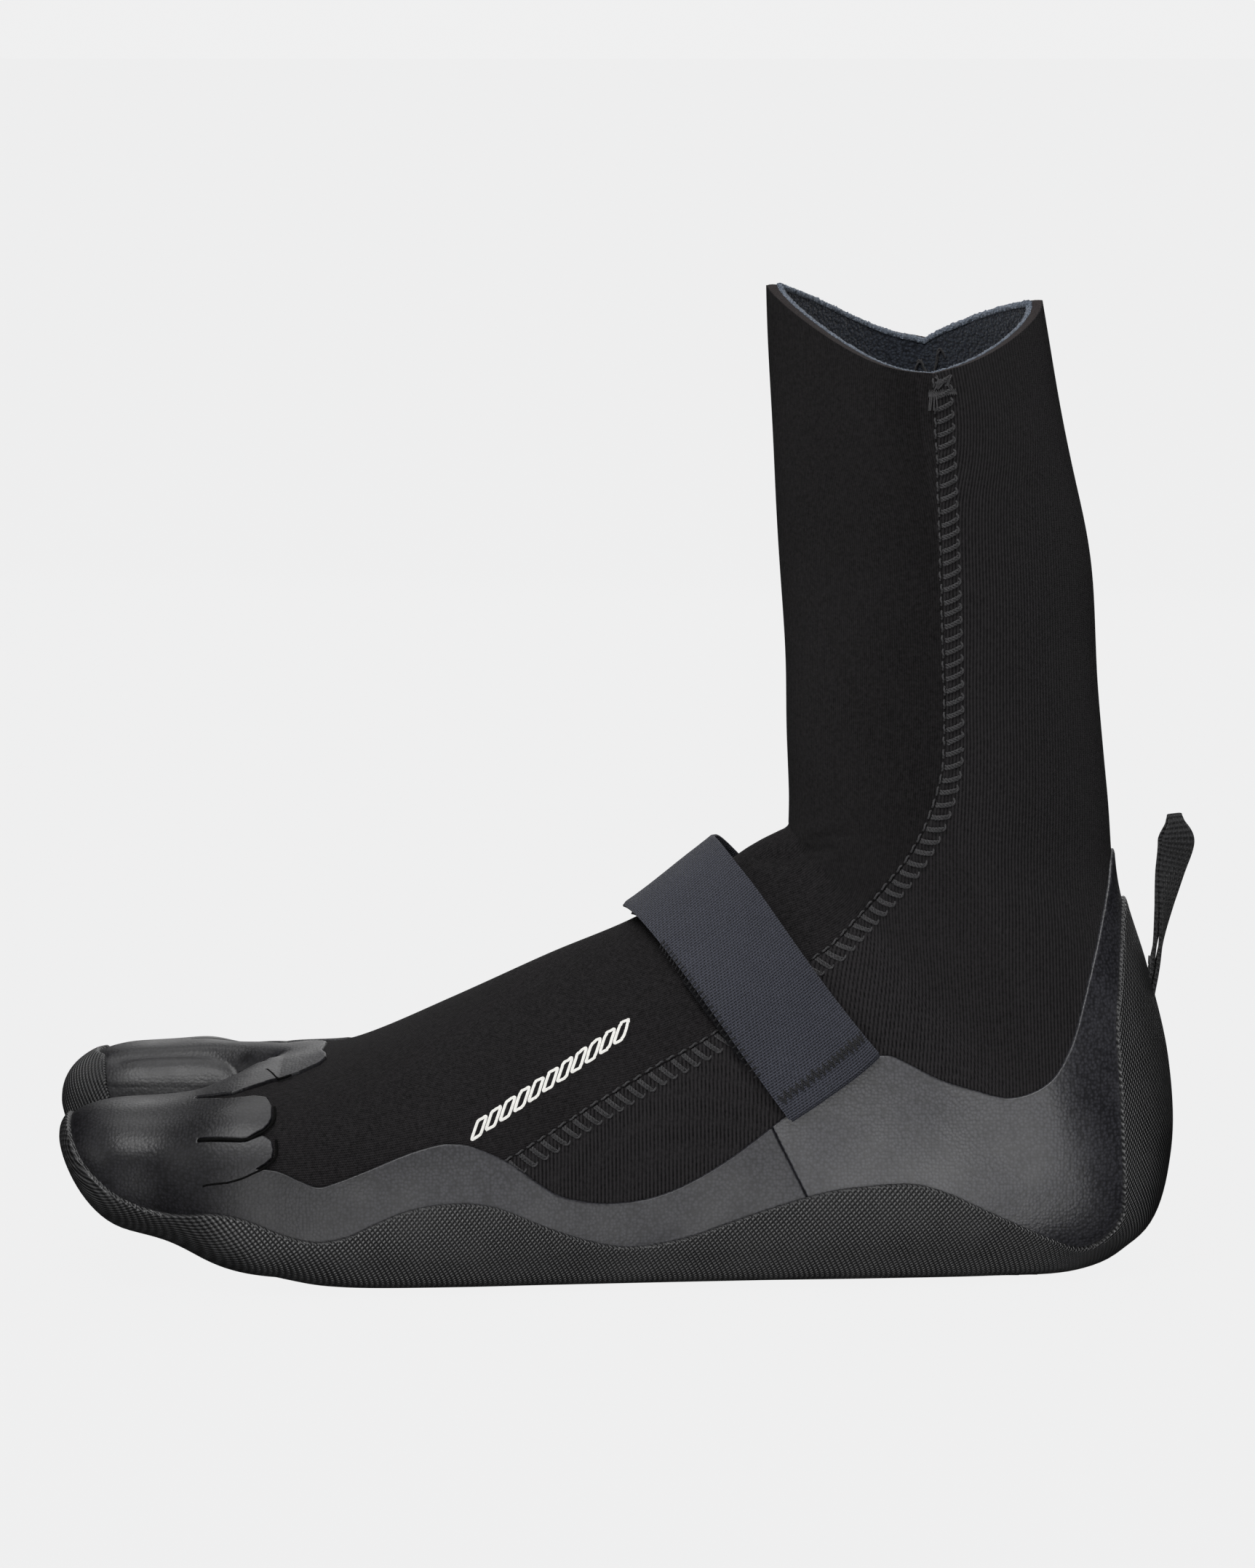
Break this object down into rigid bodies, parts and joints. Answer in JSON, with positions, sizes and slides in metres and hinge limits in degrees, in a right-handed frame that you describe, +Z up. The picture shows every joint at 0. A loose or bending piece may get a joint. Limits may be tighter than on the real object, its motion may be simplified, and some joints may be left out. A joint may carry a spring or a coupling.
{
  "type": "neoprene boot",
  "caption": "Split-toe neoprene surf boot for the left foot: ankle-high tube, rubber outsole and rand, instep strap and heel pull loop.",
  "frame": {"origin": "middle of the bounding box, on the plane that the sole rests on", "axes": "+X from the toes to the heel, +Y to the medial side, +Z up"},
  "size_m": [0.2878, 0.0984, 0.2507],
  "materials": {
    "neoprene_knit": "matte fine knit on neoprene",
    "neoprene_rib": "matte ribbed knit on neoprene",
    "fleece_lining": "dull brushed fleece",
    "insole_foam": "matte foam",
    "rand_rubber": "semi-gloss pebbled rubber",
    "outsole_rubber": "satin woven-pattern rubber",
    "webbing": "ribbed polyester webbing",
    "loop_tape": "woven black tape",
    "hook_tape": "hook tape",
    "thread": "twisted polyester thread",
    "print_ink": "flat screen print"
  },
  "bodies": {
    "foot": {"front_panel_foot": "neoprene_knit", "rear_panel_foot": "neoprene_rib", "small_toes_pocket": "neoprene_knit", "big_toe_pocket": "neoprene_knit", "lining_foot": "fleece_lining", "lining_small_toes": "fleece_lining", "lining_big_toe": "fleece_lining", "insole": "insole_foam", "toe_rand": "rand_rubber", "heel_rand": "rand_rubber", "small_toes_rand": "rand_rubber", "big_toe_rand": "rand_rubber", "slot_overlay": "rand_rubber", "outsole": "outsole_rubber", "small_toes_bumper": "outsole_rubber", "big_toe_bumper": "outsole_rubber", "tread_forefoot": "outsole_rubber", "tread_heel": "outsole_rubber", "lateral_seam_foot": "thread", "medial_seam_foot": "thread", "strap_base": "webbing", "strap_anchor": "webbing", "print_mark": "print_ink", "front_panel_flex": "neoprene_knit", "rear_panel_flex": "neoprene_rib", "lining_flex": "fleece_lining", "lateral_seam_flex": "thread", "medial_seam_flex": "thread"},
    "shaft": {"front_panel_shaft": "neoprene_knit", "rear_panel_shaft": "neoprene_rib", "lining_shaft": "fleece_lining", "lateral_seam_shaft": "thread", "medial_seam_shaft": "thread", "lateral_bar_tack": "thread", "medial_bar_tack": "thread"},
    "strap_flap": {"strap_flap": "webbing", "hook_patch": "hook_tape", "strap_end_tab": "webbing", "strap_stitch": "thread"},
    "pull_loop": {"pull_loop": "loop_tape", "pull_loop_stitch": "thread"}
  },
  "joints": [
    {"name": "ankle_flex", "type": "hinge", "parent": "foot", "child": "shaft", "pos_m": [0.082, 0, 0.105], "axis": [0, 1, 0], "range_deg": [-15, 15], "stiffness_Nm_per_rad": 0.8, "deforming": ["front_panel_flex", "rear_panel_flex", "lining_flex", "lateral_seam_flex", "medial_seam_flex"]},
    {"name": "strap_peel", "type": "hinge", "parent": "foot", "child": "strap_flap", "pos_m": [0.0373, 0.0316, 0.071], "axis": [-0.9768, 0.01, -0.214], "range_deg": [0, 130]},
    {"name": "pull_loop_tilt", "type": "hinge", "parent": "foot", "child": "pull_loop", "pos_m": [0.136, 0, 0.074], "axis": [0, 1, 0], "range_deg": [-3, 60], "stiffness_Nm_per_rad": 0.02}
  ]
}
